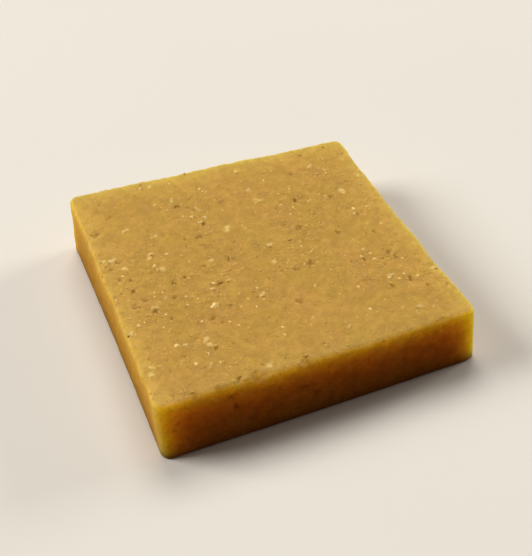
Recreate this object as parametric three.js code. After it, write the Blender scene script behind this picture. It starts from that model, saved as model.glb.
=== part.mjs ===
// One hand-cut square of moong dal barfi: roasted moong dal cooked with ghee and sugar, set in a tray
// and cut with a knife. Millimetres, +Z up. The origin is the middle of the bounding box of the base.
// +X runs along the front side, towards the right, and +Y runs to the back.

import * as THREE from 'three';
import { ParametricGeometry } from 'three/addons/geometries/ParametricGeometry.js';
import { mergeVertices } from 'three/addons/utils/BufferGeometryUtils.js';

// The top face's corners before rounding, anticlockwise from the front left, with the height of each.
// The knife wandered, so no two sides are equally long, and the slab was spread a little thicker there.
const TOP_CORNERS = [
  { x: -22.4, y: -22.7, height: 10.3 },
  { x: 23.6, y: -20.9, height: 9.4 },
  { x: 20.6, y: 20.9, height: 9.6 },
  { x: -22.1, y: 22.7, height: 10.0 },
];

// How far each corner of the base lies from the corner above it, because the knife leaned.
const BASE_SHIFTS = [
  { x: 0.35, y: -0.1 },
  { x: 0.45, y: -0.1 },
  { x: 0.35, y: 0.25 },
  { x: -0.15, y: 0.2 },
];

// How far the middle of each side stands out from the straight line: front, right, back, left.
const SIDE_BOWS = [0.15, -0.3, 0.1, -0.15];

const CORNER_RADIUS = 1.2; // the upright edges
const TOP_EDGE_RADIUS = 0.6; // the edge round the top face
const BASE_EDGE_RADIUS = 0.4; // the edge round the base

// Places where crumbs broke off the top edge: side, middle as a share of the side, width and depth.
const CHIPS = [
  { side: 0, along: 0.12, width: 1.0, depth: 0.5 },
  { side: 0, along: 0.3, width: 1.9, depth: 0.4 },
  { side: 0, along: 0.46, width: 1.4, depth: 0.45 },
  { side: 0, along: 0.73, width: 2.2, depth: 0.25 },
  { side: 1, along: 0.34, width: 1.6, depth: 0.15 },
  { side: 1, along: 0.81, width: 1.2, depth: 0.2 },
  { side: 2, along: 0.25, width: 1.5, depth: 0.15 },
  { side: 2, along: 0.66, width: 2.4, depth: 0.12 },
  { side: 3, along: 0.4, width: 1.3, depth: 0.15 },
  { side: 3, along: 0.78, width: 2.0, depth: 0.12 },
];

// Slow waves left in the top by the spatula and in the sides by the knife.
const TOP_WAVE = 0.06;
const TOP_WAVE_LENGTH = 17;
const SIDE_WAVE = 0.05;
const SIDE_WAVE_LENGTH = 13;

const SIDES = 4;
const CORNER_STEPS = 3; // steps in half of a rounded upright edge
const STRAIGHT_STEPS = 24; // steps along the straight part of a side
const SIDE_STEPS = STRAIGHT_STEPS + 2 * CORNER_STEPS;
const BASE_EDGE_STEPS = 2;
const CUT_STEPS = 5; // rows up a cut side
const TOP_EDGE_STEPS = 4;
const TOP_STEPS = 12; // rings from the top edge in to the middle

const MERGE_DISTANCE = 1e-4;
const BARFI_COLOUR = new THREE.Color().setRGB(0.733, 0.576, 0.278, THREE.SRGBColorSpace);
const BARFI_ROUGHNESS = 0.55;

const { lerp } = THREE.MathUtils;

// The corners at a level: 0 is the base and 1 the top.
function cornersAt(level) {
  return TOP_CORNERS.map((corner, index) => {
    const shift = BASE_SHIFTS[index];
    const x = corner.x + (1 - level) * shift.x;
    const y = corner.y + (1 - level) * shift.y;
    return new THREE.Vector2(x, y);
  });
}

// The outward direction of each side of a quadrilateral whose corners run anticlockwise.
function sideNormals(corners) {
  return corners.map((corner, index) => {
    const along = corners[(index + 1) % SIDES].clone().sub(corner).normalize();
    return new THREE.Vector2(along.y, -along.x);
  });
}

// The point at the given distance inside the two sides that meet in a corner.
function insideCorner(corner, normalBefore, normalAfter, distance) {
  const bisector = normalBefore.clone().add(normalAfter);
  bisector.multiplyScalar(distance / bisector.dot(normalAfter));
  return corner.clone().sub(bisector);
}

// The direction partway through the turn from one side's outward direction to the next side's.
function turned(normalBefore, normalAfter, share) {
  const turn = Math.asin(normalBefore.cross(normalAfter));
  return normalBefore.clone().rotateAround(new THREE.Vector2(), turn * share);
}

// A point of the rounded outline at a level, moved in by inset. Station counts the steps round it.
function outlinePoint(station, level, inset) {
  const corners = cornersAt(level);
  const normals = sideNormals(corners);
  const side = Math.floor(station / SIDE_STEPS) % SIDES;
  const step = station % SIDE_STEPS;
  const next = (side + 1) % SIDES;
  const before = (side + SIDES - 1) % SIDES;
  const radius = CORNER_RADIUS - inset;
  const start = insideCorner(corners[side], normals[before], normals[side], CORNER_RADIUS);
  const end = insideCorner(corners[next], normals[side], normals[next], CORNER_RADIUS);
  if (step < CORNER_STEPS) {
    const share = 0.5 + (0.5 * step) / CORNER_STEPS;
    return start.addScaledVector(turned(normals[before], normals[side], share), radius);
  }
  if (step > SIDE_STEPS - CORNER_STEPS) {
    const share = (0.5 * (step - SIDE_STEPS + CORNER_STEPS)) / CORNER_STEPS;
    return end.addScaledVector(turned(normals[side], normals[next], share), radius);
  }
  const along = (step - CORNER_STEPS) / STRAIGHT_STEPS;
  const bow = SIDE_BOWS[side] * 4 * along * (1 - along);
  return start.lerp(end, along).addScaledVector(normals[side], radius + bow);
}

// How deep the chips reach at a station: a sum of bell curves along the side.
function chipDepth(station) {
  const side = Math.floor(station / SIDE_STEPS) % SIDES;
  const along = ((station % SIDE_STEPS) - CORNER_STEPS) / STRAIGHT_STEPS;
  const length = TOP_CORNERS[side].x - TOP_CORNERS[(side + 1) % SIDES].x;
  const rise = TOP_CORNERS[side].y - TOP_CORNERS[(side + 1) % SIDES].y;
  const millimetres = Math.hypot(length, rise);
  let depth = 0;
  for (const chip of CHIPS.filter((one) => one.side === side)) {
    const away = ((along - chip.along) * millimetres) / (chip.width / 2);
    depth += chip.depth * Math.exp(-away * away);
  }
  return depth;
}

// The height of the top over a point: the corners' heights blended across, and a slow wave.
function topHeight(x, y) {
  const right = (x - TOP_CORNERS[0].x) / (TOP_CORNERS[1].x - TOP_CORNERS[0].x);
  const back = (y - TOP_CORNERS[0].y) / (TOP_CORNERS[3].y - TOP_CORNERS[0].y);
  const front = lerp(TOP_CORNERS[0].height, TOP_CORNERS[1].height, right);
  const rear = lerp(TOP_CORNERS[3].height, TOP_CORNERS[2].height, right);
  const turn = (2 * Math.PI) / TOP_WAVE_LENGTH;
  return lerp(front, rear, back) + TOP_WAVE * Math.sin(turn * x + 0.8) * Math.cos(turn * 0.8 * y);
}

// How far the knife's wave pushes a side out at a point of the outline and a level. It fades at the base.
function sideWave(point, level) {
  const turn = (2 * Math.PI) / SIDE_WAVE_LENGTH;
  return SIDE_WAVE * level * Math.sin(turn * (point.x - 0.9 * point.y) + 2 * level);
}

// The section from the middle of the base to the middle of the top, as a list of functions that give the
// point over a station: the base, its rounded edge, the cut side, the rounded top edge, and the top.
function sectionRings() {
  const rings = [];
  const centre = new THREE.Vector2();
  rings.push(() => new THREE.Vector3(centre.x, centre.y, 0));
  for (let step = 0; step <= BASE_EDGE_STEPS; step++) {
    const angle = (Math.PI / 2) * (step / BASE_EDGE_STEPS);
    const inset = BASE_EDGE_RADIUS * (1 - Math.sin(angle));
    const height = BASE_EDGE_RADIUS * (1 - Math.cos(angle));
    rings.push((station) => {
      const point = outlinePoint(station, 0, inset);
      return new THREE.Vector3(point.x, point.y, height);
    });
  }
  for (let step = 1; step < CUT_STEPS; step++) {
    rings.push((station) => edgePoint(station, step / CUT_STEPS, 0));
  }
  for (let step = 0; step <= TOP_EDGE_STEPS; step++) {
    const angle = (Math.PI / 2) * (step / TOP_EDGE_STEPS);
    rings.push((station) => edgePoint(station, 1, angle));
  }
  for (let step = 1; step <= TOP_STEPS; step++) {
    rings.push((station) => {
      const edge = edgePoint(station, 1, Math.PI / 2);
      const point = new THREE.Vector2(edge.x, edge.y).lerp(centre, step / TOP_STEPS);
      return new THREE.Vector3(point.x, point.y, topHeight(point.x, point.y));
    });
  }
  return rings;
}

// A point on the cut side, at a level of its straight part, or on the rounded top edge, at an angle
// from 0, where the side ends, to a right angle, where the top begins. A chip makes the rounding larger.
function edgePoint(station, level, angle) {
  const radius = TOP_EDGE_RADIUS + chipDepth(station);
  const rim = outlinePoint(station, 1, radius);
  const top = topHeight(rim.x, rim.y);
  const height = lerp(BASE_EDGE_RADIUS, top - radius, level) + radius * Math.sin(angle);
  const share = Math.min(height / top, 1);
  const outline = outlinePoint(station, share, radius * (1 - Math.cos(angle)));
  const outward = outline.clone().normalize();
  const point = outline.addScaledVector(outward, sideWave(outline, share) * Math.cos(angle));
  return new THREE.Vector3(point.x, point.y, height);
}

// The closed surface: u goes round the outline and v goes along the section.
function barfiGeometry() {
  const rings = sectionRings();
  const stations = SIDES * SIDE_STEPS;
  const surface = (u, v, target) => {
    const station = Math.round(u * stations) % stations;
    const ring = Math.round(v * (rings.length - 1));
    target.copy(rings[ring](station));
  };
  const surfaceGeometry = new ParametricGeometry(surface, stations, rings.length - 1);
  surfaceGeometry.deleteAttribute('normal');
  surfaceGeometry.deleteAttribute('uv');
  const geometry = mergeVertices(surfaceGeometry, MERGE_DISTANCE);
  centreOnBase(geometry);
  geometry.computeVertexNormals();
  return geometry;
}

// Moves the solid so that the middle of its bounding box lies over the origin, with its base at 0.
function centreOnBase(geometry) {
  geometry.computeBoundingBox();
  const middle = geometry.boundingBox.getCenter(new THREE.Vector3());
  geometry.translate(-middle.x, -middle.y, -geometry.boundingBox.min.z);
}

function barfiMaterial() {
  return new THREE.MeshStandardMaterial({
    color: BARFI_COLOUR,
    roughness: BARFI_ROUGHNESS,
    metalness: 0,
  });
}

const piece = new THREE.Mesh(barfiGeometry(), barfiMaterial());
piece.name = 'barfi_piece';

const barfi = new THREE.Group();
barfi.add(piece);

export default barfi;
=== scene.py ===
import math
from collections import namedtuple

import bpy
import numpy as np
from bpy.props import FloatProperty, FloatVectorProperty, IntProperty, PointerProperty
from mathutils import Matrix, Vector


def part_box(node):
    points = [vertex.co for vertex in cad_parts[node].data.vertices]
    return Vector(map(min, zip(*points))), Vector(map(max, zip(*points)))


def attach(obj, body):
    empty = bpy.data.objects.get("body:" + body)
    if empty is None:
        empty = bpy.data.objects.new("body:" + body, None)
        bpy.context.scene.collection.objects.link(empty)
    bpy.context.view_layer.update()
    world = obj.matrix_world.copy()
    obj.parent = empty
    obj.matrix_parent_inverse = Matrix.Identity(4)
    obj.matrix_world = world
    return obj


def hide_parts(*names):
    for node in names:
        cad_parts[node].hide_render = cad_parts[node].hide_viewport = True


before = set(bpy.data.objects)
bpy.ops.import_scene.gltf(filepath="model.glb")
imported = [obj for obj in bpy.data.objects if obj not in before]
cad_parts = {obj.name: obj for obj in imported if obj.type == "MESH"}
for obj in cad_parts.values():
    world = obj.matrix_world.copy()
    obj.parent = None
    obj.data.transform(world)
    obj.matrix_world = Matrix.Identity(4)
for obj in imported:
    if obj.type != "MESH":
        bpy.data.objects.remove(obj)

bl_info = {
    "name": "Moong Dal Barfi",
    "version": (1, 0, 0),
    "blender": (4, 5, 0),
    "location": "View3D > Sidebar > Barfi",
    "description": "A hand-cut square of moong dal barfi: waxy body, granules and crumbs",
    "category": "Add Mesh",
}

# Every length is in metres; MM turns millimetres into metres.
MM = 0.001
NODE = "barfi_piece"
BODY = "root"
SIDES = 4

# The top face's corners before rounding, anticlockwise from the front left, and the height of each.
TOP_CORNERS = np.array([(-22.4, -22.7), (23.6, -20.9), (20.6, 20.9), (-22.1, 22.7)]) * MM
TOP_HEIGHTS = np.array([10.3, 9.4, 9.6, 10.0]) * MM

# How far each corner of the base lies from the corner above it, and how far each side bows out.
BASE_SHIFTS = np.array([(0.35, -0.1), (0.45, -0.1), (0.35, 0.25), (-0.15, 0.2)]) * MM
SIDE_BOWS = np.array([0.15, -0.3, 0.1, -0.15]) * MM

# Chips along the top edge: side, middle as a share of the side, width and depth in millimetres.
CHIPS = (
    (0, 0.12, 1.7, 0.42),
    (0, 0.3, 1.9, 0.4),
    (0, 0.46, 1.4, 0.45),
    (0, 0.73, 2.2, 0.25),
    (1, 0.34, 1.6, 0.15),
    (1, 0.81, 1.2, 0.2),
    (2, 0.25, 1.5, 0.15),
    (2, 0.66, 2.4, 0.12),
    (3, 0.4, 1.3, 0.15),
    (3, 0.78, 2.0, 0.12),
)
BROKEN_DEPTH = 0.4 * MM  # a chip of this depth shows a wholly broken surface
EDGE_ROUGHNESS = 0.06 * MM  # how much the whole edge is worn besides
SIDE_LENGTH = 45 * MM  # about; it turns a share of a side into a length

# Slow waves left in the top by the spatula and in the sides by the knife.
TOP_WAVE = 0.06 * MM
TOP_WAVE_LENGTH = 17 * MM
SIDE_WAVE = 0.05 * MM
SIDE_WAVE_LENGTH = 13 * MM

TOP_CELLS = 228  # cells along each side of the top; a multiple of BASE_STEP
BASE_STEP = 4  # the base has one cell for this many of the top's
TOP_EDGE_ROWS = 5
CUT_ROWS = 34
BASE_EDGE_ROWS = 3
BASE_SHRINK = 0.995  # the base's grid ends just inside the last ring of its edge
BASE_DOWN = 0.6  # the base has the colour of this share of the way down a side

# The widths of the lumps in the noise that makes each thing uneven.
CHIP_LUMPS = 1.6 * MM
ROUGH_PATCHES = 7 * MM
TOP_LUMPS = 5 * MM
CUT_LUMPS = 3.2 * MM
KNIFE_STREAKS = 0.9 * MM
STREAK_SQUASH = 0.16  # heights are squashed by this, which draws the streaks out upwards
WORN_LUMPS = 0.9 * MM
BREAK_LUMPS = 0.6 * MM

# Relief: how far apart pits, pale grains and torn pits lie, and how high or deep things are.
PIT_SPACING = 2.2 * MM
PALE_SPACING = 2.3 * MM
TORN_SPACING = 2.0 * MM
LUMP_HEIGHT = 0.05 * MM
CUT_GRAIN_HEIGHT = 0.08 * MM
TORN_DEPTH = 0.14 * MM
FOOT_FADE = 1.2 * MM  # relief fades out below this height, so that the base stays flat

# How far in from an edge it is crumbled, broken or lighter with painted glow.
CRUMBLE_REACH = 0.9 * MM
BREAK_REACH = 0.8 * MM
GLOW_REACH = 2.4 * MM
CORNER_REACH = 2.6 * MM
SKIN_SLOPE = 0.85  # the dried top ends where the surface faces less far up than this

# The shape of the loose grains.
GRAIN_BUMPS = 0.14  # as a share of the radius
GRAIN_FLATS = 4  # how many flats are broken off each
FLAT_PLACES = (0.45, 0.95)  # how far out they lie, in radii
GRAIN_LEAN = 0.25
GRAIN_VARIETY = (0.8, 1.2)  # the factors between which each of a grain's three sizes varies
GRAIN_DEPTH = 0.85  # as a share of its width
GRAIN_SHIFT = 0.1 * MM  # how far a grain may lie from its point of the body

# Sizes of the patterns in the body's colour.
PATCH_SIZE = 6 * MM
MOTTLE_SIZE = 1.6 * MM
GRAIN_CELL = 0.8 * MM
SAND_CELL = 0.34 * MM
PORE_CELL = 1.0 * MM

# The lights: name, place, width, power in watts and colour.
LIGHTS = (
    ("key_light", (-1.42, 0.6, 1.15), 0.9, 31.0, (1.0, 0.98, 0.95)),
    ("back_light", (0.25, 0.8, 1.5), 0.9, 13.0, (1.0, 0.99, 0.97)),
    ("side_light", (1.4, 0.2, 0.45), 0.6, 13.0, (1.0, 0.97, 0.9)),
    ("fill_light", (-0.3, -1.4, 0.25), 0.8, 1.0, (1.0, 0.42, 0.1)),
)
WORLD_COLOUR = (1.0, 0.99, 0.97, 1.0)
WORLD_STRENGTH = 0.04
FLOOR_REACH = 3.0  # from the middle of the floor to its edge


def srgb(red, green, blue):
    """The linear colour of three sRGB values from 0 to 255."""
    values = np.array((red, green, blue)) / 255.0
    linear = np.where(values <= 0.04045, values / 12.92, ((values + 0.055) / 1.055) ** 2.4)
    return tuple(float(v) for v in linear)


GRANULE_DARK = srgb(226, 186, 106)  # the darkest of the pale granules


# ---- Sizes and colours ----


class BarfiShape(bpy.types.PropertyGroup):
    """The sizes of the piece and the numbers of its grains"""

    corner_radius: FloatProperty(
        name="Corner radius", description="Rounding of the upright edges",
        default=1.2 * MM, min=0.2 * MM, max=4 * MM, unit="LENGTH", precision=5)
    top_edge_radius: FloatProperty(
        name="Top edge radius", description="Rounding of the edge round the top",
        default=0.6 * MM, min=0.1 * MM, max=2 * MM, unit="LENGTH", precision=5)
    base_edge_radius: FloatProperty(
        name="Base edge radius", description="Rounding of the edge round the base",
        default=0.4 * MM, min=0.1 * MM, max=2 * MM, unit="LENGTH", precision=5)
    grain_size: FloatProperty(
        name="Grain size", description="Width of the dal grains that show as low bumps in the top",
        default=1.15 * MM, min=0.3 * MM, max=3 * MM, unit="LENGTH", precision=5)
    grain_height: FloatProperty(
        name="Grain height", description="How far those grains stand out of the top",
        default=0.145 * MM, min=0.0, max=0.4 * MM, unit="LENGTH", precision=5)
    pit_depth: FloatProperty(
        name="Pit depth", description="Depth of the small pits between the grains",
        default=0.25 * MM, min=0.0, max=0.5 * MM, unit="LENGTH", precision=5)
    edge_wear: FloatProperty(
        name="Edge wear", description="How deeply the top edge has crumbled",
        default=0.3 * MM, min=0.0, max=0.5 * MM, unit="LENGTH", precision=5)
    cut_depth: FloatProperty(
        name="Knife mark depth", description="Depth of the marks that the knife left in the sides",
        default=0.06 * MM, min=0.0, max=0.3 * MM, unit="LENGTH", precision=5)
    grains: IntProperty(
        name="Grains", description="Small dal grains, nearly sunk, that make the top rough",
        default=3600, min=0, max=8000)
    granules: IntProperty(
        name="Granules", description="Pale granules, nearly sunk in the top",
        default=130, min=0, max=2500)
    crumbs: IntProperty(
        name="Crumbs", description="Loose crumbs that cling to the top edge",
        default=150, min=0, max=1000)
    seed: IntProperty(
        name="Seed", description="Which of the random arrangements is made", default=647, min=0)


class BarfiColours(bpy.types.PropertyGroup):
    """The colours of the piece, and how far light travels inside it"""

    top: FloatVectorProperty(
        name="Top", description="The dried, grainy top", subtype="COLOR", size=3,
        default=srgb(190, 149, 68))
    top_warm: FloatVectorProperty(
        name="Top, warm patches", description="Faint pinkish mottling", subtype="COLOR", size=3,
        default=srgb(192, 148, 71))
    cut: FloatVectorProperty(
        name="Cut side", description="The waxy cut just below the top edge", subtype="COLOR", size=3,
        default=srgb(218, 166, 76))
    # Painted shade: the cut is painted darker halfway down, where less light reaches.
    cut_middle_shade: FloatVectorProperty(
        name="Cut side, middle", description="The deeper amber halfway down the cut",
        subtype="COLOR", size=3, default=srgb(208, 153, 58))
    # Painted shade: the cut is painted darker still at its foot, where least light reaches.
    cut_foot_shade: FloatVectorProperty(
        name="Cut side, foot", description="The brown amber at the foot of the cut",
        subtype="COLOR", size=3, default=srgb(182, 124, 42))
    # Painted glow: the strip round the top's edge is painted lighter where light would come through the
    # edge.
    rim: FloatVectorProperty(
        name="Rim", description="The lighter strip round the top's edge", subtype="COLOR", size=3,
        default=srgb(204, 162, 80))
    # Painted glow: the upright edges are painted brighter where light would come through them.
    corner: FloatVectorProperty(
        name="Upright edges", description="The glowing edges where light comes through",
        subtype="COLOR", size=3, default=srgb(255, 178, 76))
    cut_grain: FloatVectorProperty(
        name="Cut grains", description="Dal grains that the knife cut through", subtype="COLOR",
        size=3, default=srgb(244, 208, 118))
    # Painted shade: the colour that darkens the pits and pores.
    pit_shade: FloatVectorProperty(
        name="Pit", description="The bottom of a pit", subtype="COLOR", size=3,
        default=srgb(128, 86, 28))
    broken: FloatVectorProperty(
        name="Break", description="The moist crumb inside, where the edge broke", subtype="COLOR",
        size=3, default=srgb(208, 156, 56))
    granule: FloatVectorProperty(
        name="Granule", description="Pale granules", subtype="COLOR", size=3,
        default=srgb(247, 214, 138))
    grain: FloatVectorProperty(
        name="Grain", description="The small grains in the top", subtype="COLOR", size=3,
        default=srgb(206, 164, 84))
    scatter: FloatVectorProperty(
        name="Scatter distance", description="How far red, green and blue light travels inside",
        size=3, default=(14.0 * MM, 14.0 * MM, 2.4 * MM), unit="LENGTH", precision=5)


class BarfiStage(bpy.types.PropertyGroup):
    """The camera and the floor"""

    azimuth: FloatProperty(
        name="Azimuth", description="Camera's place round the piece, from the front to the right",
        default=math.radians(-18.6), subtype="ANGLE")
    elevation: FloatProperty(
        name="Elevation", description="Camera's height above the horizon",
        default=math.radians(43.0), subtype="ANGLE")
    roll: FloatProperty(
        name="Roll", description="Turn of the camera about its line of sight",
        default=math.radians(2.3), subtype="ANGLE")
    distance: FloatProperty(
        name="Distance", description="From the camera to the middle of the piece",
        default=199.3 * MM, unit="LENGTH")
    lens: FloatProperty(
        name="Lens", description="Focal length in millimetres", default=90.0)
    floor: FloatVectorProperty(
        name="Floor", description="The pale floor", subtype="COLOR", size=3,
        default=srgb(232, 227, 217))
    thrown_back: FloatVectorProperty(
        name="Light thrown back", description="Colour of the light that the floor throws on the piece",
        subtype="COLOR", size=3, default=srgb(106, 60, 24))


# ---- Noise, as whole arrays ----


def hashed(cells, seed):
    """Repeatable numbers from 0 to 1 for whole-number cells (..., 3): the three numbers and the seed
    are mixed by multiplying 32-bit values with large odd numbers and by shifting them. Every use adds a
    number of its own to the seed, so that no two patterns are alike."""
    x = (cells.astype(np.int64) & 0xFFFFFFFF).astype(np.uint32)
    value = x[..., 0] * np.uint32(73856093)
    value = value ^ (x[..., 1] * np.uint32(19349663))
    value = value ^ (x[..., 2] * np.uint32(83492791))
    value = value ^ np.uint32((seed * 2654435761) & 0xFFFFFFFF)
    for shift, factor in ((16, 0x7FEB352D), (15, 0x846CA68B)):
        value = (value ^ (value >> np.uint32(shift))) * np.uint32(factor)
    value = value ^ (value >> np.uint32(16))
    return value.astype(np.float64) / 0xFFFFFFFF


def smooth_noise(points, size, seed):
    """Soft lumps from -1 to 1, about size across: random values at the corners of a grid of cubes,
    blended across each cube by 3t^2 - 2t^3."""
    scaled = points / size
    cell = np.floor(scaled)
    share = scaled - cell
    share = share * share * (3 - 2 * share)
    total = np.zeros(points.shape[:-1])
    for corner in np.ndindex(2, 2, 2):
        step = np.array(corner)
        weight = np.prod(np.where(step, share, 1 - share), axis=-1)
        total += weight * hashed(cell + step, seed)
    return 2 * total - 1


def layered_noise(points, size, seed, layers=3):
    """Soft lumps with finer ones on them: each layer is half as large and half as strong."""
    total = np.zeros(points.shape[:-1])
    for layer in range(layers):
        total += smooth_noise(points, size / 2**layer, seed + 17 * layer) / 2**layer
    return total


def nearest_seed(points, size, seed):
    """For random points, one in each cube of a grid: the distance to the nearest as a share of size,
    and a number from 0 to 1 that belongs to that one."""
    scaled = points / size
    cell = np.floor(scaled)
    nearest = np.full(points.shape[:-1], np.inf)
    owner = np.zeros(points.shape[:-1])
    for corner in np.ndindex(3, 3, 3):
        neighbour = cell + np.array(corner) - 1
        place = np.stack([hashed(neighbour, seed + k) for k in range(3)], axis=-1)
        away = np.linalg.norm(neighbour + place - scaled, axis=-1)
        number = hashed(neighbour, seed + 3)
        closer = away < nearest
        nearest = np.where(closer, away, nearest)
        owner = np.where(closer, number, owner)
    return nearest, owner


def smoothstep(low, high, value):
    """0 below low, 1 above high, and 3t^2 - 2t^3 between them."""
    t = np.clip((value - low) / (high - low), 0, 1)
    return t * t * (3 - 2 * t)


# ---- The form of the piece ----


def corner_at(side, level):
    """The sharp corner that starts a side: the top's corner, moved towards the base's as level goes
    from 1 at the top to 0 at the base."""
    return TOP_CORNERS[side] + (1 - level)[..., None] * BASE_SHIFTS[side]


def outward(start, end):
    """The unit direction square to the line from start to end, on its right-hand side."""
    along = end - start
    along = along / np.linalg.norm(along, axis=-1, keepdims=True)
    return np.stack([along[..., 1], -along[..., 0]], axis=-1)


def inside_corner(corner, normal_before, normal_after, distance):
    """The point that lies distance inside both sides that meet in a corner."""
    both = normal_before + normal_after
    reach = distance / np.sum(both * normal_after, axis=-1, keepdims=True)
    return corner - both * reach


def cross(a, b):
    """The cross product's only part, for directions in a plane."""
    return a[..., 0] * b[..., 1] - a[..., 1] * b[..., 0]


def outline(turn, level, inset, radius):
    """Points and outward directions of the rounded outline.

    turn counts the sides from 0 to 4, anticlockwise from the front left corner; level is 0 at the base
    and 1 at the top; inset moves the outline in. A side is a straight line, bowed by a parabola, between
    two arcs; each arc turns about a point radius inside both sides, and half of it belongs to each side.
    """
    side = np.floor(turn).astype(int) % SIDES
    share = turn - np.floor(turn)
    corners = [corner_at((side + step) % SIDES, level) for step in (-1, 0, 1, 2)]
    before, here, after = (outward(corners[k], corners[k + 1]) for k in range(3))
    start = inside_corner(corners[1], before, here, radius)
    end = inside_corner(corners[2], here, after, radius)
    length = np.linalg.norm(end - start, axis=-1)
    arc_share = radius * math.pi / 4 / (length + radius * math.pi / 2)
    along = np.clip((share - arc_share) / (1 - 2 * arc_share), 0, 1)
    into = np.clip(1 - share / arc_share, 0, 1) * np.arcsin(cross(before, here)) / 2
    out_of = np.clip(1 - (1 - share) / arc_share, 0, 1) * np.arcsin(cross(here, after)) / 2
    angle = (out_of - into)[..., None]
    forward = np.stack([-here[..., 1], here[..., 0]], axis=-1)
    direction = here * np.cos(angle) + forward * np.sin(angle)
    bow = SIDE_BOWS[side] * 4 * along * (1 - along)
    points = start + (end - start) * along[..., None]
    return points + direction * (radius - inset + bow)[..., None], direction


def chip_depth(turn):
    """How much the rounding of the top edge grows where crumbs broke off: a sum of bell curves along
    the sides, each with a width and a depth of its own, roughened by finer noise."""
    side_lengths = np.linalg.norm(np.roll(TOP_CORNERS, -1, axis=0) - TOP_CORNERS, axis=1)
    depth = np.zeros(turn.shape)
    for side, along, width, deep in CHIPS:
        away = (turn - side - along) * side_lengths[side] / (width * MM / 2)
        depth += deep * MM * np.exp(-away * away)
    place = turn[..., None] * np.array([SIDE_LENGTH, 0, 0])
    rough = layered_noise(place, CHIP_LUMPS, 5)
    return depth * (1 + 0.35 * rough) + EDGE_ROUGHNESS * np.clip(rough, 0, 1)


def top_height(points):
    """The height of the top over points (x, y): the corners' heights blended across the square, and
    a slow wave left by the spatula."""
    right = (points[..., 0] - TOP_CORNERS[0, 0]) / (TOP_CORNERS[1, 0] - TOP_CORNERS[0, 0])
    back = (points[..., 1] - TOP_CORNERS[0, 1]) / (TOP_CORNERS[3, 1] - TOP_CORNERS[0, 1])
    front = TOP_HEIGHTS[0] + (TOP_HEIGHTS[1] - TOP_HEIGHTS[0]) * right
    rear = TOP_HEIGHTS[3] + (TOP_HEIGHTS[2] - TOP_HEIGHTS[3]) * right
    turn = 2 * math.pi / TOP_WAVE_LENGTH
    wave = np.sin(turn * points[..., 0] + 0.8) * np.cos(turn * 0.8 * points[..., 1])
    return front + (rear - front) * back + TOP_WAVE * wave


def wall(turn, level, angle, shape):
    """Points and outward directions on the cut side and the rounded top edge.

    level goes up the straight part of the side from 0 to 1, and angle round the top edge from 0 to a
    right angle: out by the radius times its cosine, and up by the radius times its sine. A chip makes
    the radius larger.
    """
    radius = shape.top_edge_radius + chip_depth(turn)
    rim, _ = outline(turn, np.ones(turn.shape), radius, shape.corner_radius)
    top = top_height(rim)
    height = shape.base_edge_radius + (top - radius - shape.base_edge_radius) * level
    height = height + radius * np.sin(angle)
    share = np.minimum(height / top, 1)
    flat, direction = outline(turn, share, radius * (1 - np.cos(angle)), shape.corner_radius)
    slow = 2 * math.pi / SIDE_WAVE_LENGTH
    wave = np.sin(slow * (flat[..., 0] - 0.9 * flat[..., 1]) + 2 * share) * share * np.cos(angle)
    flat = flat + direction * (SIDE_WAVE * wave)[..., None]
    points = np.concatenate([flat, height[..., None]], axis=-1)
    up = np.sin(angle)
    normals = np.concatenate([direction * np.cos(angle)[..., None], up[..., None]], axis=-1)
    return points, normals


def square_turn(a, b):
    """Where a grid point (a, b) of the square from -1 to 1 lies: how far out it is, from 0 in the middle
    to 1 at the edge, and its place round that ring of the square, in sides from the front left."""
    ring = np.maximum(np.abs(a), np.abs(b))
    safe = np.where(ring > 0, ring, 1)
    front = (b <= -ring) & (a < ring)
    right = (a >= ring) & (b < ring) & ~front
    back = (b >= ring) & (a > -ring) & ~front & ~right
    turn = np.where(front, (a / safe + 1) / 2, 0.0)
    turn = np.where(right, 1 + (b / safe + 1) / 2, turn)
    turn = np.where(back, 2 + (1 - a / safe) / 2, turn)
    turn = np.where(~(front | right | back), 3 + (1 - b / safe) / 2, turn)
    return ring, turn


def spread_square(cells):
    """A grid of (cells + 1) x (cells + 1) points over the square, as ring and turn."""
    steps = np.linspace(-1, 1, cells + 1)
    b, a = np.meshgrid(steps, steps, indexing="ij")
    return square_turn(a, b)


def border_of(cells):
    """The indices of a square grid's border points, anticlockwise from the front left corner."""
    number = np.arange((cells + 1) ** 2).reshape(cells + 1, cells + 1)
    return np.concatenate([number[0, :-1], number[:-1, -1], number[-1, :0:-1], number[:0:-1, 0]])


def grid_quads(cells):
    """The faces of a square grid of points, anticlockwise as seen from above."""
    number = np.arange((cells + 1) ** 2).reshape(cells + 1, cells + 1)
    corners = (number[:-1, :-1], number[:-1, 1:], number[1:, 1:], number[1:, :-1])
    return np.stack([c.ravel() for c in corners], axis=1)


def band_quads(lower, upper):
    """The faces between two closed rings of indices, the lower one and the upper one, facing out."""
    return np.stack([lower, np.roll(lower, -1), np.roll(upper, -1), upper], axis=1)


# ---- Relief ----


def spots(points, size, amount, seed):
    """Spots scattered over a surface: 1 in the middle of a spot and 0 outside it. One spot may lie in
    each cube of a grid; amount is the share of the cubes that have one, no two are equally wide, and
    the noise added to the points makes their outlines uneven."""
    uneven = points + 0.22 * size * np.stack(
        [smooth_noise(points, 0.25 * size, seed + 9 + k) for k in range(3)], axis=-1)
    away, owner = nearest_seed(uneven, size, seed)
    radius = 0.15 + 0.2 * (owner / amount)
    return np.where(owner < amount, 1 - smoothstep(0.4 * radius, radius, away), 0.0)


def rough_places(points, shape):
    """How rough the top is: 0 where the spatula smeared it smooth, and 1 between those places."""
    return smoothstep(-0.35, 0.45, layered_noise(points, ROUGH_PATCHES, shape.seed + 10, 2))


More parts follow.
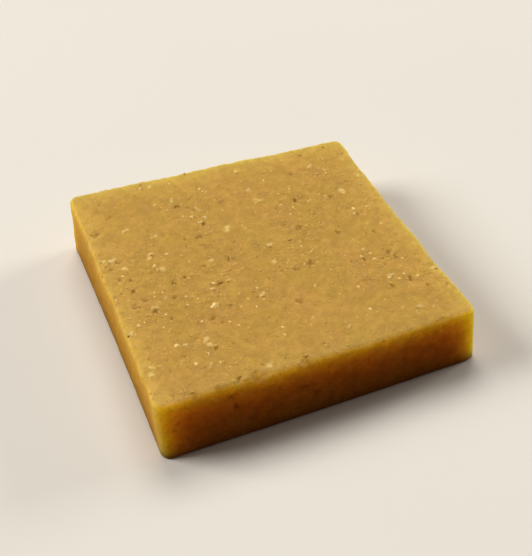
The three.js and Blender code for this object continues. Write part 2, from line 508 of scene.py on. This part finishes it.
def top_relief(points, shape):
    """How far the grainy top stands out, and its pits and pale grains, each from 0 to 1: soft lumps,
    domed grains of two sizes and random height, which are low where the top is smooth, and pits and
    pale grains, most of them where it is rough."""
    rough = rough_places(points, shape)
    smeared = 0.4 + 0.6 * rough
    domes = np.zeros(points.shape[:-1])
    for part in (1.0, 0.6):
        away, owner = nearest_seed(points, part * shape.grain_size, shape.seed + round(100 * part))
        domes += part * np.sqrt(np.clip(1 - (away / 0.75) ** 2, 0, 1)) * (0.2 + 0.8 * owner)
    lumps = LUMP_HEIGHT * layered_noise(points, TOP_LUMPS, shape.seed + 20)
    hollow = spots(points, PIT_SPACING, 0.1 + 0.6 * rough, shape.seed + 60)
    pale = spots(points, PALE_SPACING, 0.1 + 0.5 * rough, shape.seed + 70) * (1 - hollow)
    out = lumps + shape.grain_height * smeared * domes + 1.1 * shape.grain_height * pale
    return out - shape.pit_depth * hollow, hollow, pale


def cut_relief(points, shape):
    """How far the cut side stands out, and its torn pits: lumps, streaks drawn out upwards by the knife,
    low grains that it left standing, and a few small pits where one was torn away."""
    squashed = points * np.array([1.0, 1.0, STREAK_SQUASH])
    streaks = shape.cut_depth * layered_noise(squashed, KNIFE_STREAKS, shape.seed + 80, 2)
    lumps = LUMP_HEIGHT * layered_noise(points, CUT_LUMPS, shape.seed + 100)
    away, owner = nearest_seed(points, shape.grain_size, shape.seed + 90)
    standing = CUT_GRAIN_HEIGHT * owner**2 * np.sqrt(np.clip(1 - (away / 0.7) ** 2, 0, 1))
    torn = spots(points, TORN_SPACING, 0.3, shape.seed + 120)
    return lumps + streaks + standing - TORN_DEPTH * torn, torn


def worn_edge(points, from_edge, chipped, shape):
    """How deeply the top edge has crumbled, and how far each point lies in a break from 0 to 1: noise of
    about a grain's size takes a little away along the whole edge. Where a chip broke off, the break is
    the chip's strength less the distance from the edge, roughened by noise, and its floor is uneven."""
    rough = layered_noise(points, WORN_LUMPS, shape.seed + 140, 2)
    crumbled = 0.2 * np.clip(0.3 + rough, 0, 1.2) * np.exp(-((from_edge / CRUMBLE_REACH) ** 2))
    strength = chipped - from_edge / BREAK_REACH + 0.2 * rough
    broken = smoothstep(0.0, 0.9, strength)
    away, _ = nearest_seed(points, BREAK_LUMPS, shape.seed + 150)
    return shape.edge_wear * (crumbled + broken * (0.6 + 0.7 * np.clip(away, 0, 1))), broken


# ---- Meshes ----


def mesh_object(name, points, faces, attributes):
    """A smooth mesh object at the origin. faces is a list of index arrays, one row for each face, and
    attributes gives one number for each point by name."""
    mesh = bpy.data.meshes.new(name)
    corners = np.concatenate([f.ravel() for f in faces]).astype(np.int32)
    sizes = np.concatenate([np.full(len(f), f.shape[1]) for f in faces]).astype(np.int32)
    starts = np.concatenate([[0], np.cumsum(sizes)[:-1]]).astype(np.int32)
    mesh.vertices.add(len(points))
    mesh.vertices.foreach_set("co", points.astype(np.float32).ravel())
    mesh.loops.add(len(corners))
    mesh.loops.foreach_set("vertex_index", corners)
    mesh.polygons.add(len(sizes))
    mesh.polygons.foreach_set("loop_start", starts)
    mesh.polygons.foreach_set("loop_total", sizes)
    mesh.polygons.foreach_set("use_smooth", np.ones(len(sizes), dtype=bool))
    mesh.update(calc_edges=True)
    if mesh.validate():
        raise RuntimeError(f"{name}: the mesh had faces that had to be mended")
    for label, values in attributes.items():
        attribute = mesh.attributes.new(label, "FLOAT", "POINT")
        attribute.data.foreach_set("value", np.asarray(values, np.float32))
    made = bpy.data.objects.new(name, mesh)
    bpy.context.scene.collection.objects.link(made)
    return made


def fit_to_frame(points):
    """Centres the form on the frame's box and brings it to the box's size: each axis is moved and
    scaled so that the form's lowest and highest values become the box's."""
    low, high = (np.array(corner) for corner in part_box(NODE))
    form_low, form_high = points.min(axis=0), points.max(axis=0)
    return low + (points - form_low) / (form_high - form_low) * (high - low)


Patch = namedtuple("Patch", "points normals ring turn")


def flat_patch(points, normals, ring, turn):
    """A patch of the surface with its arrays as lists of points."""
    ring = np.broadcast_to(ring, turn.shape).ravel()
    return Patch(points.reshape(-1, 3), normals.reshape(-1, 3), ring, turn.ravel())


def top_patch(shape):
    """The top: a square grid whose rings are the rim drawn in towards the middle."""
    ring, turn = spread_square(TOP_CELLS)
    rim, _ = wall(turn, np.ones(turn.shape), np.full(turn.shape, math.pi / 2), shape)
    flat = rim[..., :2] * ring[..., None]
    points = np.concatenate([flat, top_height(flat)[..., None]], axis=-1)
    return flat_patch(points, np.broadcast_to([0.0, 0.0, 1.0], points.shape), ring, turn)


def side_patch(shape, around):
    """Rings from just below the rim down over the rounded top edge and the cut side."""
    angles = np.linspace(math.pi / 2, 0, TOP_EDGE_ROWS + 1)[1:]
    levels = np.linspace(1, 0, CUT_ROWS + 1)[1:]
    angle = np.concatenate([angles, np.zeros(CUT_ROWS)])
    level = np.concatenate([np.ones(TOP_EDGE_ROWS), levels])
    turn = np.tile(around, (len(level), 1))
    points, normals = wall(turn, level[:, None] + 0 * turn, angle[:, None] + 0 * turn, shape)
    return flat_patch(points, normals, 1.0, turn)


def foot_patch(shape, around):
    """Rings round the base's edge, a quarter circle in by the radius and down by it."""
    angle = np.linspace(0, math.pi / 2, BASE_EDGE_ROWS + 1)[1:, None]
    turn = np.tile(around, (BASE_EDGE_ROWS, 1))
    radius = shape.base_edge_radius
    inset = radius * (1 - np.cos(angle)) + 0 * turn
    flat, outwards = outline(turn, np.zeros(turn.shape), inset, shape.corner_radius)
    height = radius * (1 - np.sin(angle)) + 0 * turn
    points = np.concatenate([flat, height[..., None]], axis=-1)
    normals = np.concatenate([outwards, np.zeros(turn.shape + (1,))], axis=-1)
    return flat_patch(points, normals, 1.0, turn)


def base_patch(shape):
    """The flat base: a coarser square grid just inside the last ring of its edge."""
    ring, turn = spread_square(TOP_CELLS // BASE_STEP)
    foot, _ = outline(turn, np.zeros(turn.shape), shape.base_edge_radius, shape.corner_radius)
    flat = foot * ring[..., None] * BASE_SHRINK
    points = np.concatenate([flat, np.zeros(turn.shape + (1,))], axis=-1)
    return flat_patch(points, np.broadcast_to([0.0, 0.0, -1.0], points.shape), ring, turn)


def base_fans(fine, coarse):
    """Triangles on the flat base between a fine ring and a coarse one inside it: each coarse edge has a
    fan of BASE_STEP fine edges, half of it from each end."""
    fine = fine.reshape(len(coarse), BASE_STEP)
    here, there = coarse, np.roll(coarse, -1)
    ends = np.concatenate([fine, np.roll(fine[:, :1], -1, axis=0)], axis=1)
    half = BASE_STEP // 2
    fans = []
    for step in range(BASE_STEP):
        tip = here if step < half else there
        fans.append(np.stack([ends[:, step + 1], ends[:, step], tip], axis=1))
    fans.append(np.stack([there, ends[:, half], here], axis=1))
    return fans


def barfi_faces(border, first_side, rows):
    """The faces that join the patches: the top's grid, a band between each ring and the next one down,
    the base's grid, and the fans that join it to the last ring."""
    coarse = TOP_CELLS // BASE_STEP
    rings = [border] + [first_side + row * len(border) + np.arange(len(border)) for row in range(rows)]
    first_base = first_side + rows * len(border)
    faces = [grid_quads(TOP_CELLS)]
    faces += [band_quads(lower, upper) for upper, lower in zip(rings[:-1], rings[1:])]
    faces.append(first_base + grid_quads(coarse)[:, ::-1])
    return faces + base_fans(rings[-1], first_base + border_of(coarse))


def barfi_surface(shape):
    """Points, faces and attributes of the body: the smooth form is brought to the frame's box, and its
    relief is added along the directions that face out, fading out towards the flat base. The rim's
    painted glow and the glow mask fall off by a power of e away from the top edge, and the upright
    edges' painted glow away from an upright edge. In the middle of the front side, which lies in shade,
    the rim's painted glow is weaker."""
    border = border_of(TOP_CELLS)
    around = np.arange(len(border)) * SIDES / len(border)
    top = top_patch(shape)
    patches = (top, side_patch(shape, around), foot_patch(shape, around), base_patch(shape))
    points, normals, ring, turn = (np.concatenate(parts) for parts in zip(*patches))
    points = fit_to_frame(points)

    half = np.abs(points[:, :2]).max()
    share = turn - np.floor(turn)
    inwards = (1 - ring) * half
    along = np.minimum(share, 1 - share) * 2 * half * ring
    height = TOP_HEIGHTS.mean()
    underneath = normals[:, 2] < 0
    below = np.where(ring < 1, 0, np.clip(height - points[:, 2], 0, None))
    below = np.where(underneath, height, below)
    chipped = np.clip(chip_depth(turn) / BROKEN_DEPTH, 0, 1)

    # glow and corner are masks falling off from the top edge and from an upright edge; they place the
    # painted glow of the rim and of the upright edges.
    glow = np.exp(-(inwards + below) / GLOW_REACH)
    corner = np.exp(-((along + inwards) / CORNER_REACH) ** 1.5)
    front = np.where(turn < 1, smoothstep(0.0, 0.1, np.minimum(share, 1 - share)), 0.0)
    skin = smoothstep(SKIN_SLOPE, 1.0, normals[:, 2])
    standing = smoothstep(0.0, FOOT_FADE, points[:, 2])
    top_out, top_pits, pale = top_relief(points, shape)
    cut_out, cut_pits = cut_relief(points, shape)
    worn, broken = worn_edge(points, inwards + below, chipped, shape)
    rise = skin * top_out + (1 - skin) * cut_out - worn
    attributes = {
        "skin": skin,
        # The rim and corner masks place painted glow: round the top's edge, weaker on the front side,
        # which lies in shade, and along the upright edges.
        "rim": glow * (1 - 0.7 * front),
        "glow": glow,
        "corner": np.where(underneath, 0, corner),
        # The pits' mask places painted shade in them.
        "pit_shade": (skin * top_pits + (1 - skin) * cut_pits) * standing,
        "pale": skin * pale,
        "broken": broken * standing,
        "down": np.where(underneath, BASE_DOWN, np.clip(below / height, 0, 1)),
    }
    faces = barfi_faces(border, len(top.points), TOP_EDGE_ROWS + CUT_ROWS + BASE_EDGE_ROWS)
    return points + normals * (rise * standing)[:, None], faces, attributes


def unit_grain(around, levels):
    """A ball of few faces: points on circles between two poles, and its faces."""
    polar = np.linspace(0, math.pi, levels)[1:-1]
    angle = np.arange(around) * 2 * math.pi / around
    polar, angle = np.meshgrid(polar, angle, indexing="ij")
    circles = np.stack(
        [np.sin(polar) * np.cos(angle), np.sin(polar) * np.sin(angle), np.cos(polar)], axis=-1)
    points = np.concatenate([[[0, 0, 1.0]], circles.reshape(-1, 3), [[0, 0, -1.0]]])
    number = 1 + np.arange((levels - 2) * around).reshape(levels - 2, around)
    nexts = np.roll(number, -1, axis=1)
    quads = np.stack([number[1:], nexts[1:], nexts[:-1], number[:-1]], axis=-1).reshape(-1, 4)
    last = len(points) - 1
    cap = np.stack([np.zeros(around, int), number[0], nexts[0]], axis=1)
    foot = np.stack([np.full(around, last), nexts[-1], number[-1]], axis=1)
    return points, quads, np.concatenate([cap, foot])


def broken_grains(count, around, levels, rng):
    """That many uneven grains about 2 across: the unit grain with random bumps, cut flat by random
    planes, by moving what lies beyond a plane back onto it."""
    points, quads, triangles = unit_grain(around, levels)
    local = points[None] * (1 + GRAIN_BUMPS * rng.uniform(-1, 1, (count, len(points), 1)))
    for _ in range(GRAIN_FLATS):
        facing = rng.normal(size=(count, 1, 3))
        facing /= np.linalg.norm(facing, axis=-1, keepdims=True)
        plane = rng.uniform(*FLAT_PLACES, (count, 1, 1))
        beyond = np.sum(local * facing, axis=-1, keepdims=True) - plane
        local = local - facing * np.clip(beyond, 0, None)
    return local, quads, triangles


def scattered(name, centres, sizes, steps, rng):
    """Many small grains as one mesh: each is stretched by its own three sizes, leaned over by a random
    amount, spun round and moved to its centre. steps are those of a grain, around and up. shade is a
    random number for each grain."""
    count = len(centres)
    local, quads, triangles = broken_grains(count, *steps, rng)
    spin = rng.uniform(0, 2 * math.pi, count)
    lean = np.column_stack([rng.normal(0, GRAIN_LEAN, (count, 2)), np.ones(count)])
    up = lean / np.linalg.norm(lean, axis=1, keepdims=True)
    ahead = np.column_stack([np.cos(spin), np.sin(spin), np.zeros(count)])
    ahead -= up * np.sum(ahead * up, axis=1, keepdims=True)
    ahead /= np.linalg.norm(ahead, axis=1, keepdims=True)
    axes = np.stack([ahead, np.cross(up, ahead), up], axis=1)
    placed = np.einsum("nki,nij->nkj", local * sizes[:, None, :] / 2, axes) + centres[:, None, :]
    offsets = (np.arange(count) * local.shape[1])[:, None, None]
    shades = np.repeat(rng.uniform(0, 1, count), local.shape[1])
    return mesh_object(
        name, placed.reshape(-1, 3),
        [(quads[None] + offsets).reshape(-1, 4), (triangles[None] + offsets).reshape(-1, 3)],
        {"shade": shades})


# ---- Materials ----


class Nodes:
    """Short ways to add nodes to a material."""

    def __init__(self, name):
        self.material = bpy.data.materials.new(name)
        self.material.use_nodes = True
        self.tree = self.material.node_tree
        self.shader = next(n for n in self.tree.nodes if n.type == "BSDF_PRINCIPLED")
        self.place = self.add("ShaderNodeTexCoord").outputs["Object"]

    def add(self, kind, inputs=None, **settings):
        """A node of that kind, with its settings, and its inputs as values or as links."""
        node = self.tree.nodes.new(kind)
        for key, value in settings.items():
            setattr(node, key, value)
        for key, value in (inputs or {}).items():
            self.feed(node.inputs[key], value)
        return node

    def feed(self, socket, value):
        """Links the socket to another node's output, or sets it to a value."""
        if isinstance(value, bpy.types.NodeSocket):
            self.tree.links.new(value, socket)
        else:
            socket.default_value = value

    def attribute(self, name):
        """The mesh's own number of that name."""
        return self.add("ShaderNodeAttribute", attribute_name=name).outputs["Fac"]

    def noise(self, size, detail=2.0, roughness=0.5):
        """Soft noise with lumps about size metres across."""
        inputs = {"Vector": self.place, "Scale": 1 / size, "Detail": detail, "Roughness": roughness}
        return self.add("ShaderNodeTexNoise", inputs).outputs["Fac"]

    def uneven(self, size, amount):
        """The place, pushed about by up to amount by noise with lumps about size metres across."""
        noise = self.add("ShaderNodeTexNoise", {"Vector": self.place, "Scale": 1 / size})
        inputs = {0: noise.outputs["Color"], 1: (0.5, 0.5, 0.5)}
        push = self.add("ShaderNodeVectorMath", inputs, operation="SUBTRACT")
        inputs = {0: push.outputs[0], 1: (2 * amount, 2 * amount, 2 * amount), 2: self.place}
        return self.add("ShaderNodeVectorMath", inputs, operation="MULTIPLY_ADD").outputs[0]

    def cells(self, size, place):
        """A Voronoi pattern of cells about size metres across."""
        return self.add("ShaderNodeTexVoronoi", {"Vector": place, "Scale": 1 / size})

    def dots(self, cells, share, reach):
        """Spots in that share of the cells, none of them equally large: 1 in the middle of a spot and 0
        outside it. The largest reach out by that share of a cell's size."""
        number = self.add("ShaderNodeSeparateColor", {"Color": cells.outputs["Color"]}).outputs
        chosen = self.band(number["Red"], 1 - share, 1.02 - share)
        size = self.band(number["Green"], 0.0, 1.0, 0.3, 1.0)
        away = self.maths("DIVIDE", cells.outputs["Distance"], size)
        return self.times(chosen, self.band(away, 0.7 * reach, reach, 1.0, 0.0))

    def band(self, value, low, high, start=0.0, end=1.0):
        """value from low to high becomes start to end, held outside that range."""
        inputs = {"Value": value, "From Min": low, "From Max": high, "To Min": start, "To Max": end}
        return self.add("ShaderNodeMapRange", inputs, interpolation_type="SMOOTHSTEP").outputs["Result"]

    def ramp(self, value, low, high):
        """value from low to high becomes 0 to 1 in proportion, held outside that range."""
        inputs = {"Value": value, "From Min": low, "From Max": high}
        return self.add("ShaderNodeMapRange", inputs).outputs["Result"]

    def maths(self, operation, first, second):
        """Two numbers added, subtracted, multiplied or divided, or the larger of them."""
        return self.add("ShaderNodeMath", {0: first, 1: second}, operation=operation).outputs[0]

    def times(self, first, second):
        """Two numbers multiplied."""
        return self.maths("MULTIPLY", first, second)

    def mix(self, share, first, second, blend="MIX"):
        """A colour share of the way from first to second, or another blend of the two."""
        node = self.add("ShaderNodeMix", data_type="RGBA", blend_type=blend)
        self.feed(node.inputs["Factor"], share)
        for key, value in (("A", first), ("B", second)):
            socket = next(s for s in node.inputs if s.name == key and s.type == "RGBA")
            self.feed(socket, value if isinstance(value, bpy.types.NodeSocket) else (*value, 1.0))
        return next(s for s in node.outputs if s.type == "RGBA")

    def tint(self, colour, tone):
        """The colour made darker or lighter by the factor tone."""
        grey = self.add("ShaderNodeCombineColor", {"Red": tone, "Green": tone, "Blue": tone})
        return self.mix(1.0, colour, grey.outputs["Color"], "MULTIPLY")

    def set_shader(self, name, value):
        """Sets one of the shader's own sockets, to a value or a link."""
        self.feed(self.shader.inputs[name], value)

    def bump(self, height, strength, depth):
        """Relief too fine to model, depth metres deep, in the shader's normal."""
        node = self.add("ShaderNodeBump", {"Height": height, "Strength": strength, "Distance": depth})
        self.set_shader("Normal", node.outputs["Normal"])

    def scatter_inside(self, weight, distances):
        """A share of the light travels the given distances inside, for red, green and blue."""
        longest = max(distances)
        self.set_shader("Subsurface Weight", weight)
        self.set_shader("Subsurface Radius", [d / longest for d in distances])
        self.set_shader("Subsurface Scale", longest)


def barfi_material(colours):
    """Waxy amber fudge with a dried, mottled, tan top. The cut sides are smoother and darker towards the
    foot in painted shade, the edges have a painted glow, pits and pores are darkened with painted shade,
    pale grains stand in the top, and flecks too small to model lie all over it. Each mark is mixed in by
    its share times its strength."""
    nodes = Nodes("barfi_fudge")
    names = ("skin", "rim", "glow", "corner", "pit_shade", "pale", "broken", "down")
    skin, rim, glow, corner, pit_shade, pale, broken, down = (nodes.attribute(name) for name in names)
    bare = nodes.maths("SUBTRACT", 1.0, skin)

    patches = nodes.band(nodes.noise(PATCH_SIZE, 3.0), 0.4, 0.65)
    top = nodes.mix(patches, colours.top, colours.top_warm)
    # Painted glow: the top turns towards the rim colour near its edge, less on the front side, which
    # lies in shade.
    top = nodes.mix(nodes.times(rim, 0.8), top, colours.rim)

    # Down the cut, the colour runs through three, darker towards the foot as painted shade, and the
    # upright edges have a painted glow.
    cut = nodes.mix(nodes.ramp(down, 0.03, 0.36), colours.cut, colours.cut_middle_shade)
    cut = nodes.mix(nodes.ramp(down, 0.36, 0.95), cut, colours.cut_foot_shade)
    cut = nodes.mix(corner, cut, colours.corner)
    base = nodes.mix(skin, cut, top)

    # Each grain of dal has a tone of its own.
    place = nodes.uneven(0.4 * MM, 0.12 * MM)
    grains, sand, pores = (nodes.cells(size, place) for size in (GRAIN_CELL, SAND_CELL, PORE_CELL))
    for cells, change in ((grains, 0.055), (sand, 0.04)):
        base = nodes.tint(base, nodes.band(cells.outputs["Color"], 0.1, 0.9, 1 - change, 1 + change))
    base = nodes.tint(base, nodes.band(nodes.noise(MOTTLE_SIZE, 1.0), 0.3, 0.7, 0.94, 1.06))

    pore = nodes.dots(pores, share=0.35, reach=0.24)
    fleck = nodes.times(nodes.dots(grains, share=0.06, reach=0.34), skin)
    sliced = nodes.times(nodes.dots(sand, share=0.12, reach=0.6), bare)
    # Pits and pores are darkened with painted shade; the other marks are the fudge's own colours.
    marks = (
        (fleck, 0.25, colours.granule),
        (sliced, 0.2, colours.cut_grain),
        (pale, 0.6, colours.granule),
        (pore, 0.28, colours.pit_shade),
        (pit_shade, 0.4, colours.pit_shade),
        (broken, 0.8, colours.broken))
    for share, strength, colour in marks:
        base = nodes.mix(nodes.times(share, strength), base, colour)
    nodes.set_shader("Base Color", base)

    rough = nodes.band(nodes.noise(0.8 * MM), 0.3, 0.7, -0.07, 0.07)
    nodes.set_shader("Roughness", nodes.maths("ADD", rough, nodes.band(skin, 0.0, 1.0, 0.6, 0.74)))
    nodes.set_shader("Specular IOR Level", 0.12)

    # More light travels inside at the bare edges, and less in the dried top and in a break.
    edge = nodes.times(nodes.maths("MAXIMUM", corner, glow), bare)
    inside = nodes.maths("ADD", nodes.band(skin, 0.0, 1.0, 0.72, 0.4), nodes.times(edge, 0.28))
    inside = nodes.times(inside, nodes.band(broken, 0.0, 1.0, 1.0, 0.7))
    nodes.scatter_inside(inside, colours.scatter)

    # The finest relief: noise, rounded sand, weaker on the cut, low grains and pores.
    grit = nodes.band(sand.outputs["Distance"], 0.1, 0.6, 1.0, 0.0)
    grit = nodes.times(grit, nodes.band(skin, 0.0, 1.0, 0.5, 1.0))
    height = nodes.maths("ADD", nodes.noise(0.2 * MM, roughness=0.6), grit)
    height = nodes.maths("ADD", height, nodes.band(grains.outputs["Distance"], 0.1, 0.6, 0.8, 0.0))
    height = nodes.maths("SUBTRACT", height, nodes.times(pore, 2.0))
    nodes.bump(height, 0.8, 0.05 * MM)
    return nodes.material


def grain_material(name, dark, pale, dullness, gloss):
    """Small grains between two colours, each with its own shade. dullness is their mean roughness."""
    nodes = Nodes(name)
    base = nodes.mix(nodes.attribute("shade"), dark, pale)
    base = nodes.tint(base, nodes.band(nodes.noise(0.25 * MM), 0.3, 0.7, 0.93, 1.07))
    nodes.set_shader("Base Color", base)
    rough = nodes.band(nodes.noise(0.4 * MM, 1.0), 0.3, 0.7, dullness - 0.08, dullness + 0.08)
    nodes.set_shader("Roughness", rough)
    nodes.set_shader("Specular IOR Level", gloss)
    nodes.bump(nodes.noise(0.12 * MM), 0.4, 0.02 * MM)
    return nodes.material


def floor_material(colour, thrown_back):
    """A pale matt floor with the faintest mottling. The light that it throws back on the piece is weak
    and warm, like that of the brass tray on which such sweets are served."""
    nodes = Nodes("pale_floor")
    darker = [0.97 * c for c in colour]
    seen = nodes.mix(nodes.noise(0.05), colour, darker)
    direct = nodes.add("ShaderNodeLightPath").outputs["Is Camera Ray"]
    nodes.set_shader("Base Color", nodes.mix(direct, thrown_back, seen))
    nodes.set_shader("Roughness", 0.9)
    nodes.set_shader("Specular IOR Level", 0.2)
    return nodes.material


# ---- Operators ----


def finish_piece(piece, material):
    """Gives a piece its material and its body."""
    piece.data.materials.append(material)
    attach(piece, BODY)


class BARFI_OT_body(bpy.types.Operator):
    """Make the barfi's body around the frame's solid"""

    bl_idname = "barfi.body"
    bl_label = "Barfi body"

    def execute(self, context):
        shape = context.scene.barfi_shape
        points, faces, attributes = barfi_surface(shape)
        body = mesh_object("barfi_body", points, faces, attributes)
        finish_piece(body, barfi_material(context.scene.barfi_colours))
        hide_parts(NODE)
        return {"FINISHED"}


def body_points():
    """The body's points, one row for each."""
    mesh = bpy.data.objects["barfi_body"].data
    points = np.zeros(len(mesh.vertices) * 3, np.float32)
    mesh.vertices.foreach_get("co", points)
    return points.reshape(-1, 3).astype(float)


def body_values(name):
    """The numbers of one of the body's attributes, one for each point."""
    mesh = bpy.data.objects["barfi_body"].data
    values = np.zeros(len(mesh.vertices), np.float32)
    mesh.attributes[name].data.foreach_get("value", values)
    return values.astype(float)


def top_chance(shape, least):
    """The chance of a grain at each of the body's points: none off the top, more where it is rough."""
    return np.where(body_values("skin") > 0.9, least + rough_places(body_points(), shape), 0.0)


def sunk_grains(name, material, seed, chance, count, widths, flatness, sunk, steps):
    """A piece of grains scattered over the body's points by chance: widths are the least and the most
    in metres, with more small ones; flatness is the height as a share of the width; sunk is the least
    and the most of the height that the middle of a grain lies below the surface; and steps are those
    of a grain, around and up."""
    rng = np.random.default_rng(seed)
    points = body_points()
    chosen = rng.choice(len(points), count, replace=False, p=chance / chance.sum())
    width = widths[0] + (widths[1] - widths[0]) * rng.uniform(0, 1, count) ** 2
    sizes = width[:, None] * rng.uniform(*GRAIN_VARIETY, (count, 3))
    sizes = sizes * np.array([1.0, GRAIN_DEPTH, flatness])
    centres = points[chosen] + rng.uniform(-1, 1, (count, 3)) * GRAIN_SHIFT
    centres[:, 2] = points[chosen, 2] - sizes[:, 2] * rng.uniform(*sunk, count)
    finish_piece(scattered(name, centres, sizes, steps, rng), material)


class BARFI_OT_grains(bpy.types.Operator):
    """Scatter small dal grains that are nearly sunk in the top"""

    bl_idname = "barfi.grains"
    bl_label = "Grains"

    def execute(self, context):
        shape, colours = context.scene.barfi_shape, context.scene.barfi_colours
        sunk_grains(
            "dal_grains", grain_material("dal_grain", colours.rim, colours.grain, 0.5, 0.2),
            shape.seed, top_chance(shape, 0.2), shape.grains,
            widths=(0.3 * MM, 0.85 * MM), flatness=0.5, sunk=(0.3, 0.48), steps=(6, 4))
        return {"FINISHED"}


class BARFI_OT_granules(bpy.types.Operator):
    """Scatter pale granules that are nearly sunk in the top, in clumps"""

    bl_idname = "barfi.granules"
    bl_label = "Granules"

    def execute(self, context):
        shape, colours = context.scene.barfi_shape, context.scene.barfi_colours
        sunk_grains(
            "granules", grain_material("pale_granule", GRANULE_DARK, colours.granule, 0.4, 0.4),
            shape.seed + 1, top_chance(shape, 0.1), shape.granules,
            widths=(0.4 * MM, 1.05 * MM), flatness=0.5, sunk=(0.24, 0.46), steps=(8, 5))
        return {"FINISHED"}


class BARFI_OT_crumbs(bpy.types.Operator):
    """Scatter crumbs of barfi that cling to the top edge"""

    bl_idname = "barfi.crumbs"
    bl_label = "Crumbs"

    def execute(self, context):
        shape, colours = context.scene.barfi_shape, context.scene.barfi_colours
        glow = body_values("glow")
        near_edge = (glow > 0.5) & (body_values("skin") > 0.3)
        chance = np.where(near_edge, glow, 0.0) + 3 * (body_values("broken") > 0.4)
        sunk_grains(
            "crumbs", grain_material("crumb", colours.cut, colours.rim, 0.5, 0.3),
            shape.seed + 2, chance, shape.crumbs,
            widths=(0.2 * MM, 0.55 * MM), flatness=0.8, sunk=(0.12, 0.42), steps=(8, 5))
        return {"FINISHED"}


def area_light(target, name, place, width, power, colour):
    """A square light at a place, facing a target."""
    data = bpy.data.lights.new(name, "AREA")
    data.shape = "SQUARE"
    data.size = width
    data.energy = power
    data.color = colour
    light = bpy.data.objects.new(name, data)
    light.location = place
    light.rotation_mode = "QUATERNION"
    light.rotation_quaternion = (target - Vector(place)).to_track_quat("-Z", "Y")
    bpy.context.scene.collection.objects.link(light)


def aimed_camera(stage, middle):
    """The camera, at the stage's angles and distance from the middle of the piece, facing it."""
    data = bpy.data.cameras.new("camera")
    data.lens = stage.lens
    data.clip_start = 0.01
    camera = bpy.data.objects.new("camera", data)
    level = math.cos(stage.elevation)
    away = Vector((
        math.sin(stage.azimuth) * level,
        -math.cos(stage.azimuth) * level,
        math.sin(stage.elevation)))
    camera.rotation_mode = "QUATERNION"
    turned = (-away).to_track_quat("-Z", "Y").to_matrix() @ Matrix.Rotation(-stage.roll, 3, "Z")
    camera.rotation_quaternion = turned.to_quaternion()
    camera.location = middle + away * stage.distance
    bpy.context.scene.collection.objects.link(camera)
    return camera


class BARFI_OT_stage(bpy.types.Operator):
    """Set the piece on a pale floor under soft studio light, with the camera"""

    bl_idname = "barfi.stage"
    bl_label = "Studio stage"

    def execute(self, context):
        stage = context.scene.barfi_stage
        low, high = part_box(NODE)
        middle = (low + high) / 2

        corners = np.array([(-1, -1, 0), (1, -1, 0), (1, 1, 0), (-1, 1, 0)]) * FLOOR_REACH
        floor = mesh_object("floor", corners + (0, 0, low.z), [np.array([[0, 1, 2, 3]])], {})
        floor.data.materials.append(floor_material(stage.floor, stage.thrown_back))

        for light in LIGHTS:
            area_light(middle, *light)
        world = bpy.data.worlds.new("studio")
        world.use_nodes = True
        background = world.node_tree.nodes["Background"]
        background.inputs["Color"].default_value = WORLD_COLOUR
        background.inputs["Strength"].default_value = WORLD_STRENGTH
        context.scene.world = world
        context.scene.view_settings.view_transform = "Standard"
        bpy.context.scene.camera = aimed_camera(stage, middle)
        return {"FINISHED"}


class BARFI_PT_panel(bpy.types.Panel):
    """The steps that make the barfi, and its sizes and colours"""

    bl_idname = "BARFI_PT_panel"
    bl_label = "Moong Dal Barfi"
    bl_space_type = "VIEW_3D"
    bl_region_type = "UI"
    bl_category = "Barfi"

    def draw(self, context):
        for operator in OPERATORS:
            self.layout.operator(operator.bl_idname)
        for group in ("barfi_shape", "barfi_colours", "barfi_stage"):
            box = self.layout.box()
            settings = getattr(context.scene, group)
            for name in settings.__annotations__:
                box.prop(settings, name)


OPERATORS = (
    BARFI_OT_body, BARFI_OT_grains, BARFI_OT_granules, BARFI_OT_crumbs, BARFI_OT_stage)
GROUPS = {"barfi_shape": BarfiShape, "barfi_colours": BarfiColours, "barfi_stage": BarfiStage}


def register():
    """Registers the classes and gives the scene their settings."""
    for cls in (*GROUPS.values(), *OPERATORS, BARFI_PT_panel):
        bpy.utils.register_class(cls)
    for name, cls in GROUPS.items():
        setattr(bpy.types.Scene, name, PointerProperty(type=cls))


def unregister():
    """Takes the settings and the classes away again."""
    for name in GROUPS:
        delattr(bpy.types.Scene, name)
    for cls in (BARFI_PT_panel, *reversed(OPERATORS), *reversed(GROUPS.values())):
        bpy.utils.unregister_class(cls)


def main():
    """Makes every piece in order."""
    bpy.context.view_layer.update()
    register()
    bpy.ops.barfi.body()
    bpy.ops.barfi.grains()
    bpy.ops.barfi.granules()
    bpy.ops.barfi.crumbs()
    bpy.ops.barfi.stage()


if __name__ == "__main__":
    main()
